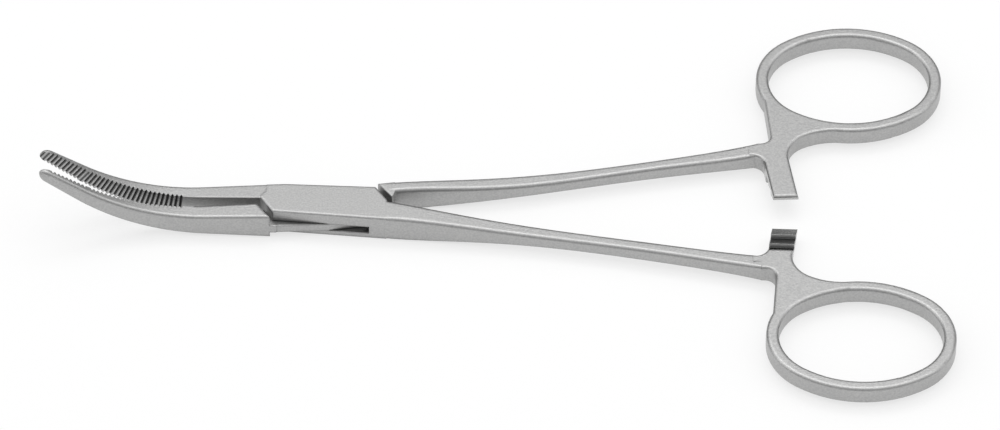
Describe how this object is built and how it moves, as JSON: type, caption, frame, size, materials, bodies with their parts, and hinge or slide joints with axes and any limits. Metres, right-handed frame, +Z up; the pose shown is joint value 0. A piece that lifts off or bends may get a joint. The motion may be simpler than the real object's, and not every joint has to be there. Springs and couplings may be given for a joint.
{
  "type": "hemostat forceps",
  "caption": "Curved locking surgical forceps: two steel halves that turn in a box lock, with serrated jaws, bowed shanks, finger rings and a stepped ratchet",
  "frame": {"origin": "on the pivot axis, where the box lock rests on the table", "axes": "+X from the jaws towards the finger rings, +Y across the opening, +Z up along the pivot axis"},
  "size_m": [0.1397, 0.0776, 0.0131],
  "materials": {
    "satin_steel": "fine bead-blasted satin with polished edges"
  },
  "bodies": {
    "box_body": {"box_half": "satin_steel", "pivot_pin": "satin_steel"},
    "tongue_body": {"tongue_half": "satin_steel"}
  },
  "joints": [
    {"name": "box_lock", "type": "hinge", "parent": "box_body", "child": "tongue_body", "pos_m": [0, 0, 0.00225], "axis": [0, 0, 1], "range_deg": [-4.8, 55]}
  ]
}
